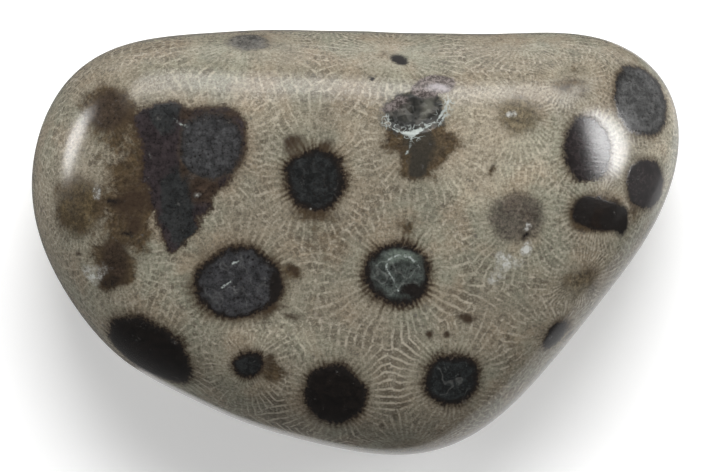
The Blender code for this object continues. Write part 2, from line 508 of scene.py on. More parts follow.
eye_sizes = np.array([(one.wide / one.growth, one.tall / one.growth, one.septa) for one in corallites])
eye_colours = np.array([FILLINGS[one.filling][0] for one in corallites])
eye_manners = np.array([FILLINGS[one.filling][1:4] for one in corallites])
eye_details = np.array([(*FILLINGS[one.filling][4:], 0.0) for one in corallites])
store_on_faces("eye_size", eye_sizes[nearest[0]])
store_on_faces("eye_colour", eye_colours[nearest[0]])
store_on_faces("eye_manner", eye_manners[nearest[0]])
store_on_faces("eye_detail", eye_details[nearest[0]])
print("each face knows its three nearest corallites out of", len(corallites))

# %% [markdown]
# ## Stains
# Some of the mud and iron has spread past the eyes. Soft-edged stains are simple enough to keep at the
# mesh's own points: each is an ellipse that fades out at its rim. The material then breaks up the rims.

# %% Brown stains
Stain = namedtuple("Stain", "x y wide tall strength turn", defaults=(1.0, 0))

BROWN_STAINS = {
    # warm brown, from iron
    "umber": [
        # the clouded narrow end
        (-26.8, 15.0, 2.6, 1.9, 1.0), (-24.6, 12.7, 2.0, 2.6, 0.9), (-28.0, 12.6, 1.6, 1.8, 0.6),
        (-24.2, 7.8, 2.4, 1.8, 0.6), (-25.2, 9.9, 3.4, 2.6, 0.42), (-23.3, 6.0, 2.3, 3.2, 1.0),
        (-25.9, 4.3, 2.5, 2.4, 1.0),
        (-23.8, 1.8, 2.2, 2.4, 0.75), (-30.1, 3.9, 2.8, 3.4, 0.9), (-25.6, 0.0, 2.6, 2.2, 0.8),
        (-26.2, -2.2, 2.5, 1.5, 1.0, -20), (-26.1, -4.3, 1.5, 1.5, 1.1), (-24.3, -3.0, 1.0, 1.2, 0.8),
        (-22.6, 1.6, 1.6, 3.2, 0.6),
        # below the hollow
        (7.3, 10.8, 3.9, 2.3, 1.4), (7.0, 8.4, 2.3, 2.1, 1.3), (9.0, 10.6, 1.6, 2.0, 0.7),
        (4.8, 11.0, 1.6, 1.4, 0.5), (-22.6, 9.6, 1.0, 2.8, 0.8),
        # tufts on the eyes
        (-4.6, 2.9, 2.6, 1.5, 0.55),
        (5.7, 1.4, 1.5, 1.6, 0.6), (-12.7, -4.4, 5.6, 4.6, 0.55, 8), (-6.4, -3.1, 1.2, 1.0, 0.9),
        (-9.0, -13.6, 1.9, 1.4, 0.9),
        # faint clouds round the pale eyes, and two broad faint darkenings, in the middle of the top and
        # towards its front
        (22.9, 16.8, 1.9, 1.0, 0.65), (23.3, 18.6, 1.4, 0.9, 0.5), (24.0, -4.1, 2.4, 1.8, 0.6, 10),
        (-2.7, 0.2, 4.2, 3.0, 0.26), (14.6, -11.7, 3.2, 2.4, 0.2),
        # single spots
        (14.6, 7.6, 0.55, 0.55, 0.8), (22.3, -9.4, 1.2, 1.0, 0.7),
        (23.3, 3.2, 0.9, 0.6, 0.7), (29.9, 3.7, 1.2, 1.4, 0.6), (24.4, 2.0, 1.6, 1.1, 0.9),
        (3.0, 20.2, 0.5, 0.6, 0.6), (24.4, 15.9, 0.8, 0.5, 0.5),
    ],
    # dark, rusty spots
    "rust": [
        (-26.2, -3.6, 1.7, 1.9, 1.0), (-25.2, 4.4, 1.7, 0.8, 0.8, 20), (-23.6, 1.4, 0.9, 0.7, 0.8),
        (-24.0, 4.2, 2.0, 3.0, 0.75), (-24.8, 13.6, 1.6, 1.4, 0.6),
        (-6.7, 10.5, 1.3, 1.1, 0.9, 30), (-3.1, 10.3, 1.1, 1.1, 0.9), (-4.2, 2.9, 1.6, 1.0, 0.5),
        (8.1, -10.0, 0.5, 0.55, 1.0), (10.0, -10.1, 0.45, 0.65, 1.0), (12.2, -8.0, 0.75, 0.75, 1.0),
        (-29.8, -1.2, 0.6, 0.35, 0.8, -30), (-6.3, -3.0, 0.8, 0.9, 0.8),
        (-8.7, -7.3, 1.6, 0.8, 0.9, 10), (-6.8, -8.3, 0.9, 0.6, 0.8),
        (-9.4, -12.6, 1.0, 0.6, 0.7), (28.0, 2.2, 1.8, 1.8, 0.9),
    ],
    # the dark heart of the stain below the hollow
    "soot": [
        (7.0, 10.0, 1.8, 2.4, 1.2), (6.8, 8.0, 1.0, 1.4, 1.0), (-11.3, 22.0, 1.8, 0.7, 0.8),
    ],
}
print(sum(len(rows) for rows in BROWN_STAINS.values()), "brown stains")

# %% Stains inside the hollow and the eyes
INNER_STAINS = {
    # crystals of other colours in the hollow and on the ridge behind it
    "rosy": [
        (4.4, 14.8, 1.8, 0.9, 1.0, 10), (8.2, 16.9, 2.1, 1.3, 2.0, 10),
    ],
    # paler grey-green patches in the middle of the hollow
    "grey_green_patch": [
        (7.5, 14.4, 0.8, 1.5, 1.0, -10), (5.4, 13.4, 0.8, 0.5, 0.5),
    ],
    # a painted highlight: the top of one green eye painted a paler green
    "green_eye_highlight": [
        (4.7, -1.9, 2.4, 0.9, 1.0),
    ],
    # a painted reflection: the ridge's highlight on the crystals behind the hollow
    "painted_ridge_glint": [
        (8.8, 16.5, 1.2, 0.6, 0.8),
    ],
    # black spots, and black that has run past an eye
    "ink": [
        (-26.2, 4.4, 1.2, 0.7, 0.45, 20), (-24.3, 0.8, 0.9, 0.6, 0.42, -20),
        (-26.1, -4.5, 1.0, 1.0, 0.35),
        (27.9, 2.3, 1.35, 2.0, 1.2, 4), (24.5, 3.5, 1.2, 1.5), (4.7, 19.6, 0.9, 0.6, 0.8),
        (18.2, 0.7, 0.45, 0.5, 0.6),
        (1.7, 17.4, 0.3, 0.3, 0.8), (6.1, -4.9, 1.5, 0.8, 0.8, 25), (-8.9, -4.6, 0.9, 2.4, 0.8, 10),
    ],
    # grey and brown parts of the black mass
    "slate": [
        (-18.8, 4.6, 1.9, 3.1), (-20.6, 13.4, 1.8, 1.6, 0.7), (-18.4, 1.2, 1.3, 1.8, 0.8),
    ],
    "brown": [
        (-16.0, 5.8, 1.5, 2.4, 1.0), (-18.2, 13.7, 1.2, 0.9, 0.8), (-13.0, 13.6, 1.6, 0.6, 0.7),
        (-18.1, 8.8, 0.6, 2.4, 0.8),
    ],
}
print(sum(len(rows) for rows in INNER_STAINS.values()), "stains in the hollow and the eyes")

# %% Pale flecks, open coral, and paler coral with painted light
PALE_STAINS = {
    # flecks of white calcite
    "pale": [
        (18.4, -0.8, 0.7, 0.85, 1.5), (18.2, 1.7, 0.35, 0.5, 1.0), (16.2, -2.2, 1.6, 1.2, 0.85),
        (14.6, -3.8, 1.3, 1.0, 0.5), (16.8, 13.8, 0.8, 0.5, 1.2), (-28.1, -3.4, 1.1, 1.0, 0.9),
        (-27.6, 5.6, 0.6, 0.9, 0.75), (-16.6, 5.0, 0.4, 0.5, 0.7), (-4.8, 3.7, 0.14, 0.14, 0.9),
    ],
    # coral whose gaps are wide and dark
    "open": [
        (3.6, -15.6, 2.4, 5.6, 1.0, 8), (5.6, -11.6, 2.4, 3.2, 0.9), (-7.6, -19.0, 5.0, 2.2, 0.8, -20),
        (13.6, -3.2, 2.6, 5.0, 0.5, -15), (9.4, -6.4, 3.0, 2.4, 0.6), (12.6, -10.4, 3.2, 1.6, 0.5),
        (-8.4, -15.2, 2.0, 3.0, 0.6), (14.4, 2.2, 1.6, 3.0, 0.5), (-17.0, -15.6, 3.0, 1.6, 0.6),
    ],
    # paler coral; the patches towards the back, on the back-right and at both ends are painted light
    "paler_and_painted_light": [
        (13.5, 9.5, 6.0, 7.0, 1.3), (21.0, 9.0, 3.5, 6.0, 0.5), (-9.5, 14.0, 5.0, 3.0, 0.6),
        (0.5, 11.0, 3.0, 4.0, 0.5), (-6.0, -10.0, 3.8, 1.8, 0.7), (-11.4, -10.0, 3.0, 1.4, 0.6),
        (-33.0, 6.0, 2.5, 9.0, 0.5), (34.0, 9.0, 2.6, 8.0, 1.4), (9.0, 0.5, 3.5, 2.5, 0.4),
        (-19.5, -3.0, 3.0, 3.0, 0.3),
    ],
}
STAINS = {
    kind: [Stain(*row) for row in rows]
    for kind, rows in (BROWN_STAINS | INNER_STAINS | PALE_STAINS).items()
}
print(len(STAINS), "kinds of stain")

# %% The black mass and the white calcite
BLACK_MASS = [
    (-23.7, 13.0), (-23.0, 14.2), (-21.3, 14.9), (-19.4, 14.9), (-17.6, 14.3), (-14.2, 14.6), (-12.4, 13.6),
    (-11.7, 11.4), (-12.0, 9.2), (-13.8, 6.3), (-15.2, 4.9), (-15.3, 3.6), (-16.7, 2.6), (-16.8, 1.4),
    (-19.6, -1.1), (-21.2, 2.2), (-22.8, 7.0), (-22.9, 10.0),
]
MASS_STEPS = 6
# the crust along the front of the hollow, with its half-width at each point, and a few veins
CRUST = [
    (3.0, 13.4), (3.7, 12.3), (4.9, 11.7), (6.0, 11.6), (7.4, 12.2), (8.6, 12.9), (9.6, 14.2), (10.0, 15.2),
]
CRUST_WIDTHS = [0.0, 0.02, 0.06, 0.42, 0.14, 0.03, 0.22, 0.10]
VEINS = [
    [(3.3, -2.8), (3.5, -1.9), (4.5, -1.4), (5.7, -1.5), (6.4, -2.1), (6.9, -3.0)],
    [(3.4, -3.0), (4.1, -3.9), (4.6, -5.2)],
    [(6.0, 11.3), (5.9, 10.2), (5.4, 9.4)],
    [(-19.5, 13.2), (-18.8, 12.7), (-17.7, 12.3)],
    [(-13.3, -2.3), (-12.4, -2.0)],
    [(-14.4, -4.9), (-13.4, -4.2)],
]
VEIN_WIDTH = 0.11
print(len(VEINS), "veins of calcite")

# %% How near a point is to a stain
STAIN_EDGE = 1.3
FAR_OUTSIDE = -9.0
TINY = 1e-9


def stain_amount(points, stain):
    """How much of a stain covers each point, falling off softly at its edge."""
    angle = math.radians(stain.turn)
    x, y = points[:, 0] - stain.x, points[:, 1] - stain.y
    along = (x * math.cos(angle) + y * math.sin(angle)) / stain.wide
    across = (y * math.cos(angle) - x * math.sin(angle)) / stain.tall
    return stain.strength * np.clip(STAIN_EDGE - np.hypot(along, across), 0.0, 1.0)


def nearest_on_edge(points, start, end):
    """The distance from points on the plan to a straight edge, and how far along it they lie."""
    run = end - start
    offset = points[:, :2] - start
    share = np.clip(offset @ run / (run @ run), 0.0, 1.0)
    return np.linalg.norm(offset - np.outer(share, run), axis=1), share


def distance_inside(points, corners):
    """The distance to the edge of a flat outline: above 0 inside it and below 0 outside."""
    outline = closed_curve(corners, MASS_STEPS)
    nearest_edge = np.full(len(points), np.inf)
    crossings = np.zeros(len(points), int)
    for start, end in zip(outline, np.roll(outline, -1, axis=0)):
        nearest_edge = np.minimum(nearest_edge, nearest_on_edge(points, start, end)[0])
        spans = (start[1] > points[:, 1]) != (end[1] > points[:, 1])
        climb = (points[:, 1] - start[1]) / (end[1] - start[1] or TINY)
        crossings += spans & (points[:, 0] < start[0] + climb * (end[0] - start[0]))
    return np.where(crossings % 2 == 1, nearest_edge, -nearest_edge)


def inside_band(points, line, widths):
    """How far inside a band of changing width each point lies, below 0 outside it."""
    depth = np.full(len(points), FAR_OUTSIDE)
    for start, end, first, last in zip(line[:-1], line[1:], widths[:-1], widths[1:]):
        distance, share = nearest_on_edge(points, np.array(start), np.array(end))
        depth = np.maximum(depth, first + (last - first) * share - distance)
    return depth


inside_mass = distance_inside(vertices, BLACK_MASS)
print("the black mass reaches", round(inside_mass.max(), 1), "mm in from its edge")

# %% Keep the stains at the points of the mesh
MARKS_END = 7.0
MARKS_FADE = 5.0


def store_at_points(name, values, underneath=0.0):
    """Keep a number for every point, which gives way to another one down the sides of the stone."""
    on_top = np.clip((vertices[:, 2] - MARKS_END) / MARKS_FADE, 0.0, 1.0)
    layer = stone.data.attributes.new(name, "FLOAT", "POINT")
    kept_values = underneath + (values - underneath) * on_top
    layer.data.foreach_set("value", np.ascontiguousarray(kept_values, np.float32))


HOLLOW_FADE = 1.5
NO_HOLLOW = -1.0
WARP = 0.9
WARP_PITCH = 2.4
WARP_SEED = 260

# this noise takes its seed from the clock unless it is given one
soft_noise.seed_set(WARP_SEED)
wander = np.array([soft_noise.noise_vector(Vector(point) / WARP_PITCH) for point in vertices])
wandering = vertices + WARP * wander
for kind, stains in STAINS.items():
    store_at_points(kind, sum(stain_amount(wandering, stain) for stain in stains))
store_at_points("black_mass", inside_mass, FAR_OUTSIDE)
calcite = inside_band(vertices, CRUST, CRUST_WIDTHS)
store_at_points("crust", calcite, FAR_OUTSIDE)
for vein in VEINS:
    calcite = np.maximum(calcite, inside_band(vertices, vein, [VEIN_WIDTH] * len(vein)))
store_at_points("calcite", calcite, FAR_OUTSIDE)
in_and_round_it = HOLLOW_FADE - hollow_reach(vertices * MM)
store_at_points("hollow", np.clip(in_and_round_it, NO_HOLLOW, HOLLOW_FADE), NO_HOLLOW)
kept_numbers = [layer for layer in stone.data.attributes if layer.data_type == "FLOAT"]
print("the points of the mesh keep", len(kept_numbers), "kinds of mark")

# %% [markdown]
# ## Nodes as sums
# A material is easier to read as arithmetic than as a web of nodes. A Wire wraps the output of a node,
# and adding, multiplying or comparing wires adds the Math nodes that do it.

# %% A wire


class Wire:
    """The output of a shader node. Arithmetic with it adds Math nodes."""

    tree = None

    def __init__(self, socket):
        self.socket = socket

    @classmethod
    def node(cls, kind, settings=None, inputs=None, output=0):
        """A new node of any type. Its settings are set first, and then its sockets' values or links."""
        node = cls.tree.nodes.new(kind)
        for name, value in (settings or {}).items():
            setattr(node, name, value)
        for key, value in (inputs or {}).items():
            if isinstance(value, Wire):
                cls.tree.links.new(value.socket, node.inputs[key])
            else:
                node.inputs[key].default_value = value
        return cls(node.outputs[output])

    def maths(self, operation, *others):
        """A Math node with this wire on its first socket."""
        return Wire.node("ShaderNodeMath", {"operation": operation}, dict(enumerate((self, *others))))

    def __add__(self, other):
        return self.maths("ADD", other)

    __radd__ = __add__

    def __mul__(self, other):
        return self.maths("MULTIPLY", other)

    __rmul__ = __mul__

    def __sub__(self, other):
        return self.maths("SUBTRACT", other)

    def __rsub__(self, other):
        return (self * -1.0) + other

    def __truediv__(self, other):
        return self.maths("DIVIDE", other)

    def __lt__(self, other):
        return self.maths("LESS_THAN", other)

    def at_most(self, other):
        """The smaller of two values."""
        return self.maths("MINIMUM", other)

    def at_least(self, other):
        """The larger of two values."""
        return self.maths("MAXIMUM", other)


print("wires can be added, subtracted, multiplied, divided and compared")

# %% Fades and mixes


def ease(value, start, end):
    """0 at start, 1 at end and a smooth rise between them. start may be the larger."""
    return Wire.node("ShaderNodeMapRange", {"interpolation_type": "SMOOTHSTEP"},
                     {"Value": value, "From Min": start, "From Max": end})


def mixed(factor, low, high, kind="RGBA"):
    """low where the factor is 0 and high where it is 1, for colours or vectors."""
    first, result = {"RGBA": (6, 2), "VECTOR": (4, 1)}[kind]
    return Wire.node("ShaderNodeMix", {"data_type": kind}, {0: factor, first: low, first + 1: high}, result)


print("wires can be eased and mixed")

# %% Vectors


def vector(operation, *inputs, output="Vector"):
    """A Vector Math node."""
    return Wire.node("ShaderNodeVectorMath", {"operation": operation}, dict(enumerate(inputs)), output)


def scaled(wire, factor):
    """A vector times a number."""
    return Wire.node("ShaderNodeVectorMath", {"operation": "SCALE"}, {0: wire, "Scale": factor})


def dot(one, other):
    """The dot product of two vectors."""
    return vector("DOT_PRODUCT", one, other, output="Value")


def joined(x, y, z):
    """A vector made of three values."""
    return Wire.node("ShaderNodeCombineXYZ", None, {"X": x, "Y": y, "Z": z})


def parted(wire):
    """The three values of a vector."""
    node = Wire.node("ShaderNodeSeparateXYZ", None, {0: wire}).socket.node
    return [Wire(socket) for socket in node.outputs]


print("wires can hold vectors")

# %% What a wire can start from


def kept(name, output="Vector"):
    """Something that the mesh keeps at its points or on its faces."""
    return Wire.node("ShaderNodeAttribute", {"attribute_name": name}, None, output)


def noise(where, scale, detail=2.0, rough=0.5, output="Fac"):
    """Cloudy noise around 0.5. The scale is in clouds per millimetre."""
    return Wire.node("ShaderNodeTexNoise", None,
                     {"Vector": where, "Scale": scale, "Detail": detail, "Roughness": rough}, output)


def chance(where):
    """A different number from 0 to 1 for every vector."""
    return Wire.node("ShaderNodeTexWhiteNoise", None, {"Vector": where}, "Value")


def rgb(red, green, blue):
    """A colour with full alpha."""
    return (red, green, blue, 1.0)


stone_material = bpy.data.materials.new("polished_coral_limestone")
stone_material.use_nodes = True
Wire.tree = stone_material.node_tree
shader = stone_material.node_tree.nodes["Principled BSDF"]


def node_count():
    """How many nodes the stone's material has so far."""
    return len(stone_material.node_tree.nodes)


print("the material starts with", node_count(), "nodes")

# %% [markdown]
# ## Where a point lies in its corallite
# The place of a point is first nudged by noise, because nothing that grew is ruled with a straight edge.
# For each of the three corallites the material works out the flat place around its middle and the
# distance. The smallest distance tells whose cup the point is in, and the next one how near the wall is.

# %% The place around a corallite
BROAD_NUDGE = 1.3
FINE_NUDGE = 0.14
NUMBER_FROM_PLACE = (1.7, 3.1, 2.3)

place = scaled(Wire.node("ShaderNodeTexCoord", output="Object"), 1 / MM)
broad_nudge = vector("SUBTRACT", noise(place, 0.28, 2.0, output="Color"), (0.5, 0.5, 0.5))
fine_nudge = vector("SUBTRACT", noise(place, 1.1, 2.0, output="Color"), (0.5, 0.5, 0.5))
both_nudges = vector("ADD", scaled(broad_nudge, BROAD_NUDGE), scaled(fine_nudge, FINE_NUDGE))
nudged = vector("ADD", place, both_nudges)


def around(rank):
    """The distance to a corallite, and the place around its middle with a number of its own."""
    middle = kept(f"middle_{rank}")
    along = kept(f"along_{rank}")
    across = kept(f"across_{rank}")
    offset = vector("SUBTRACT", nudged, middle)
    x = dot(offset, along)
    y = dot(offset, across)
    flat = x * x + y * y
    full = dot(offset, offset) * dot(along, along)
    distance = (flat * (1 - DEPTH_WEIGHT ** 2) + full * DEPTH_WEIGHT ** 2).maths("SQRT")
    return distance, joined(x, y, dot(middle, NUMBER_FROM_PLACE))


print("the coral is nudged by up to about", BROAD_NUDGE / 2, "mm each way")

# %% Nearest corallite and wall
distance_a, local_a = around(0)
distance_b, local_b = around(1)
distance_c, local_c = around(2)
closer = distance_a.at_most(distance_b)
farther = distance_a.at_least(distance_b)
local = mixed(distance_b < distance_a, local_a, local_b, "VECTOR")
local = mixed(distance_c < closer, local, local_c, "VECTOR")
to_middle = closer.at_most(distance_c)
to_wall = (closer.at_least(farther.at_most(distance_c)) - to_middle) * 0.5
local_x, local_y, own_number = parted(local)
print("with the walls the material has", node_count(), "nodes")

# %% [markdown]
# ## Septa
# The angle around the middle, times the number of septa, counts them off. Their thickness is a real
# length, so the gaps between them widen towards the wall, as they do in the coral. Short cross bars,
# the dissepiments, part each gap into small chambers that hold more or less mud.

# %% Septa and the chambers between them
SEPTA = 46
SEPTUM_HALF_WIDTH = 0.115
BAR_HALF_WIDTH = 0.05
BAR_PITCH = 0.55
SEPTUM_EDGE = 0.07
EDGE_START = 0.04
EDGE_END = 0.08

angle = local_y.maths("ARCTAN2", local_x)
radius = (local_x * local_x + local_y * local_y).maths("SQRT")
phase = angle * (SEPTA / (2 * math.pi)) + (noise(nudged, 0.8, 1.0) - 0.5) * 0.4
gap_number = phase.maths("FLOOR")
from_gap_middle = (phase.maths("FRACT") - 0.5).maths("ABSOLUTE") * 2.0
to_septum = (1.0 - from_gap_middle) * radius * (math.pi / SEPTA)
gap_chance = chance(joined(gap_number, own_number, 1.0))

bar_place = radius / BAR_PITCH + gap_chance * 5.0 + (noise(nudged, 1.8, 1.0) - 0.5) * 1.0
chamber_number = bar_place.maths("FLOOR")
from_chamber_middle = (bar_place.maths("FRACT") - 0.5).maths("ABSOLUTE") * 2.0
to_bar = (1.0 - from_chamber_middle) * (BAR_PITCH / 2)
chamber_chance = chance(joined(gap_number, chamber_number, own_number))

septum = ease(to_septum, SEPTUM_HALF_WIDTH + SEPTUM_EDGE, SEPTUM_HALF_WIDTH - SEPTUM_EDGE)
gap = ease(to_septum, SEPTUM_HALF_WIDTH - EDGE_START, SEPTUM_HALF_WIDTH + EDGE_END)
between_bars = ease(to_bar, BAR_HALF_WIDTH - EDGE_START, BAR_HALF_WIDTH + EDGE_END)
print("each corallite has", SEPTA, "septa, with a bar every", BAR_PITCH, "mm")

# %% [markdown]
# ## The body of the stone
# Between eye and wall the stone is a warm grey-brown. Close to the eye the septa are thick and pale and
# hardly show. Farther out each gap is a row of small muddy chambers, and just inside the wall some gaps
# are dark over their whole length. The wall itself is a pale, ragged line.

# %% Chambers and walls
eye_wide, eye_tall, septa_strength = parted(kept("eye_size"))
eye_cover, eye_halo, eye_fringe = parted(kept("eye_manner"))
thread_amount, eye_rim, _ = parted(kept("eye_detail"))

ragged_wall = to_wall + (septum - 0.5) * 0.25 + (noise(nudged, 1.6, 2.0) - 0.5) * 0.5
wall_line = ease(ragged_wall, 0.24, 0.06)
outer_zone = ease(to_wall, 2.6, 0.5)
fading = ease(noise(place, 0.45, 3.0), 0.30, 0.58)
open_coral = ease(kept("open", "Fac") + (noise(place, 0.8, 3.0) - 0.5) * 0.7, 0.1, 0.9)
long_gap = outer_zone * (septa_strength * 0.6 + open_coral) * ease(gap_chance, 0.2, 0.6)
chamber = gap * between_bars.at_least(long_gap.at_most(1.0))
muddy = (0.25 + chamber_chance * 0.75) * (0.55 + outer_zone * 0.45)
chamber_dark = chamber * muddy.at_least(open_coral * outer_zone * 0.85)
# chambers show less dark in paler coral and under the painted light
chamber_dark = chamber_dark * (1.0 - ease(kept("paler_and_painted_light", "Fac"), 0.1, 1.1) * 0.4)
print("the mud lies in chambers", BAR_PITCH, "mm long")

# %% Colour of the coral
PALE = rgb(0.396, 0.360, 0.286)
BASE = rgb(0.229, 0.199, 0.148)
SHADE = rgb(0.072, 0.060, 0.043)
WARM = rgb(0.232, 0.187, 0.132)
COOL = rgb(0.218, 0.214, 0.162)

clouds = noise(place, 0.10, 3.0)
warm_clouds = noise(vector("ADD", place, (40.0, 0.0, 0.0)), 0.22, 3.0)
colour = mixed(ease(clouds, 0.35, 0.65), BASE, COOL)
colour = mixed(ease(warm_clouds, 0.45, 0.68) * 0.8, colour, WARM)
colour = scaled(colour, 1.0 + (noise(place, 0.5, 4.0, 0.65) - 0.5) * 1.0)
broken = ease(noise(place, 1.7, 2.0), 0.40, 0.60)
septa_show = fading * broken * septa_strength
colour = mixed(septum * (0.26 + outer_zone * 0.52) * septa_show.at_least(open_coral), colour, PALE)
colour = mixed(wall_line * (fading * broken).at_least(open_coral) * 0.5, colour, PALE)
colour = mixed(chamber_dark * (0.40 + fading * 0.33 + open_coral * 0.2), colour, SHADE)
print("with the coral the material has", node_count(), "nodes")

# %% Grains and pores
coarse_grain = noise(place, 1.5, 3.0, 0.7)
grain = noise(place, 3.4, 3.0, 0.75)
flecks = noise(place, 5.0, 2.0, 0.6)
pores = ease(grain, 0.47, 0.33).at_least(ease(flecks, 0.40, 0.28))
grains = ease(grain, 0.53, 0.68).at_least(ease(flecks, 0.60, 0.72))
colour = mixed(pores * 0.65, colour, SHADE)
colour = mixed(grains * 0.5, colour, PALE)
colour = mixed(ease(coarse_grain, 0.45, 0.30) * 0.4, colour, SHADE)
colour = mixed(ease(coarse_grain, 0.56, 0.70) * 0.35, colour, PALE)
print("grains and pores are mixed in")

# %% [markdown]
# ## Stains and eyes
# The mud starts in the gaps between the septa and closes up towards the middle, so the edge of an eye is
# fringed. A brown halo of iron lies outside it. Inside, most eyes are greyer than at their rim, and some
# hold pale threads of crystal.

# %% Colour of the stains
INK = rgb(0.010, 0.008, 0.007)
RUST = rgb(0.037, 0.024, 0.015)
UMBER = rgb(0.048, 0.033, 0.018)
OLIVE = rgb(0.058, 0.040, 0.021)
SOOT = rgb(0.034, 0.030, 0.023)
CHALK = rgb(0.440, 0.440, 0.410)
# the paler green of a painted highlight
PAINTED_GREEN_HIGHLIGHT = rgb(0.125, 0.150, 0.125)

blotches = noise(place, 0.8, 3.0) - 0.5
fine_blotches = noise(place, 3.0, 3.0, 0.7) - 0.5
uneven = blotches * 0.7 + fine_blotches * 0.6


def stained(name, start=0.15, end=0.75):
    """How much of a kept stain shows, with its rim broken up."""
    return ease(kept(name, "Fac") + uneven, start, end)


umber_colour = mixed(ease(noise(place, 0.8, 3.0, 0.6), 0.38, 0.62), UMBER, OLIVE)
umber_colour = mixed(ease(noise(place, 1.5, 3.0, 0.6), 0.50, 0.66) * 0.7, umber_colour, RUST)
umber_colour = scaled(umber_colour, 0.7 + ease(noise(place, 1.3, 4.0, 0.7), 0.35, 0.65) * 0.7)
umber_amount = ease(kept("umber", "Fac") + blotches * 1.4 + fine_blotches * 1.1, 0.05, 0.85)
# paler coral, and painted light towards the back, on the back-right and at both ends
colour = scaled(colour, 1.0 + stained("paler_and_painted_light", 0.0, 1.0) * 0.36)
see_through = 0.93 + gap * 0.05
colour = mixed(umber_amount * see_through, colour, umber_colour)
colour = mixed(stained("rust", 0.05, 0.95) * see_through, colour, RUST)
colour = mixed(stained("soot", 0.10, 0.85), colour, SOOT)
print("stains mixed in")

# %% Halos and fringes of the eyes
ellipse_x = local_x / eye_wide
ellipse_y = local_y / eye_tall
eye_reach = (ellipse_x * ellipse_x + ellipse_y * ellipse_y).maths("SQRT")
past_eye = (eye_reach - 1.0) * (eye_wide + eye_tall) * 0.5 + blotches * 0.7
spike = gap.at_least(ease(from_gap_middle, 0.9, 0.3) * 0.7) * (gap_chance * 0.8 + 0.2) * eye_fringe
spike = spike * (0.5 + ease(noise(place, 0.35, 2.0), 0.42, 0.58) * 0.9)
halo = ease(past_eye - spike * 0.9 + fine_blotches * 1.6, 1.2, -0.3) * eye_halo
colour = mixed(halo * 0.85, colour, UMBER)
rust = ease(past_eye - spike * 0.6 + fine_blotches * 1.6, 0.45, -0.25) * eye_cover
colour = mixed(rust * (0.2 + eye_rim * 0.7), colour, RUST)
vague = (1.0 - eye_cover) * 1.4
eye = ease(past_eye - spike * 0.35 + fine_blotches * 1.5, vague + 0.20, vague * -1.5 - 0.40)
print("the eyes have halos")

# %% Colour of the eyes
speckle = noise(place, 3.2, 3.0, 0.75)
sediment = noise(place, 1.1, 4.0, 0.65)
eye_colour = scaled(kept("eye_colour"), 0.6 + ease(sediment, 0.36, 0.66) * 0.85)
eye_colour = mixed(ease(speckle, 0.47, 0.34) * 0.8, eye_colour, INK)
thread_noise = (noise(place, 0.32, 2.0, 0.45) - 0.5).maths("ABSOLUTE")
threads = ease(thread_noise + fine_blotches * 0.03, 0.022, 0.004)
threads = threads * ease(past_eye, -0.5, -1.1) * thread_amount
eye_colour = mixed(ease(speckle, 0.58, 0.74) * thread_amount * 0.4, eye_colour, CHALK)
eye_colour = mixed(threads * 0.28, eye_colour, CHALK)
eye_colour = mixed(ease(past_eye + uneven, -0.9, -0.3) * eye_rim, eye_colour, INK)
colour = mixed(eye * eye_cover, colour, eye_colour)
print("with the eyes the material has", node_count(), "nodes")

# %% The black mass that has run out of one eye
MAROON = rgb(0.026, 0.020, 0.021)
SLATE_PATCH = rgb(0.020, 0.021, 0.021)

mass_depth = kept("black_mass", "Fac") + blotches * 1.2 + fine_blotches * 1.5
outside_eye = 1.0 - eye
colour = mixed(ease(mass_depth, -0.55, 0.15) * outside_eye, colour, RUST)
mass = ease(mass_depth, -0.10, 0.40)
mass_colour = mixed(stained("slate", 0.1, 0.4), MAROON, SLATE_PATCH)
mass_colour = mixed(stained("brown", 0.1, 0.6) * 0.8, mass_colour, RUST)
mass_colour = mixed(ease(speckle, 0.48, 0.34) * 0.6, mass_colour, INK)
mass_colour = scaled(mass_colour, 0.7 + ease(sediment, 0.36, 0.66) * 0.6)
colour = mixed(mass * outside_eye, colour, mass_colour)
print("the black mass is mixed in")

# %% A painted highlight on a green eye, and black and white marks
# a painted highlight on the top of the green eye
colour = mixed(stained("green_eye_highlight", 0.1, 0.9) * 0.7, colour, PAINTED_GREEN_HIGHLIGHT)
colour = mixed(stained("ink", 0.05, 0.6), colour, INK)
dark_matter = eye.at_least(mass).at_least(stained("umber", 0.2, 0.9) * 0.4)
flakes = ease(noise(place, 2.0, 3.0, 0.7), 0.44, 0.60)
solid = ease(kept("pale", "Fac"), 0.85, 1.15)
colour = mixed(stained("pale", 0.10, 0.8) * (flakes * 0.75 + 0.15).at_least(solid), colour, CHALK)
print("with its marks the material has", node_count(), "nodes")

# %% [markdown]
# ## The hollow
# A gap in the coral never filled up. Dark crystals line it, and a crust of white calcite runs along its
# front rim. The crystals are real relief, and the material only varies their grey.

# %% Colour of the hollow
CRYSTAL_DARK = rgb(0.013, 0.013, 0.011)
CRYSTAL_LIGHT = rgb(0.052, 0.048, 0.040)
GREY_GREEN_PATCH = rgb(0.100, 0.098, 0.080)
ROSY_DARK = rgb(0.036, 0.027, 0.024)
ROSY_LIGHT = rgb(0.165, 0.139, 0.130)
# the pale colour of a painted reflection
PAINTED_GLINT = rgb(0.340, 0.315, 0.320)

in_hollow = ease(kept("hollow", "Fac") + blotches * 0.8 + fine_blotches * 0.6, 0.33, 0.63)
crystal_grey = ease(noise(place, 0.75, 2.0, 0.5), 0.46, 0.70)
hollow_colour = mixed(crystal_grey, CRYSTAL_DARK, CRYSTAL_LIGHT)
hollow_colour = mixed(stained("grey_green_patch", 0.2, 0.9) * 0.8, hollow_colour, GREY_GREEN_PATCH)
colour = mixed(in_hollow, colour, hollow_colour)
rosy = mixed(ease(speckle, 0.42, 0.58), ROSY_DARK, ROSY_LIGHT)
rosy_amount = stained("rosy", 0.2, 0.8) * 0.95
colour = mixed(rosy_amount, colour, rosy)
# a painted reflection of the ridge's highlight, behind the hollow
colour = mixed(stained("painted_ridge_glint", 0.1, 0.9) * 0.8, colour, PAINTED_GLINT)
print("the hollow has its crystals")

# %% Mottling and the crust of calcite
CRUST_WHITE = rgb(0.330, 0.360, 0.340)

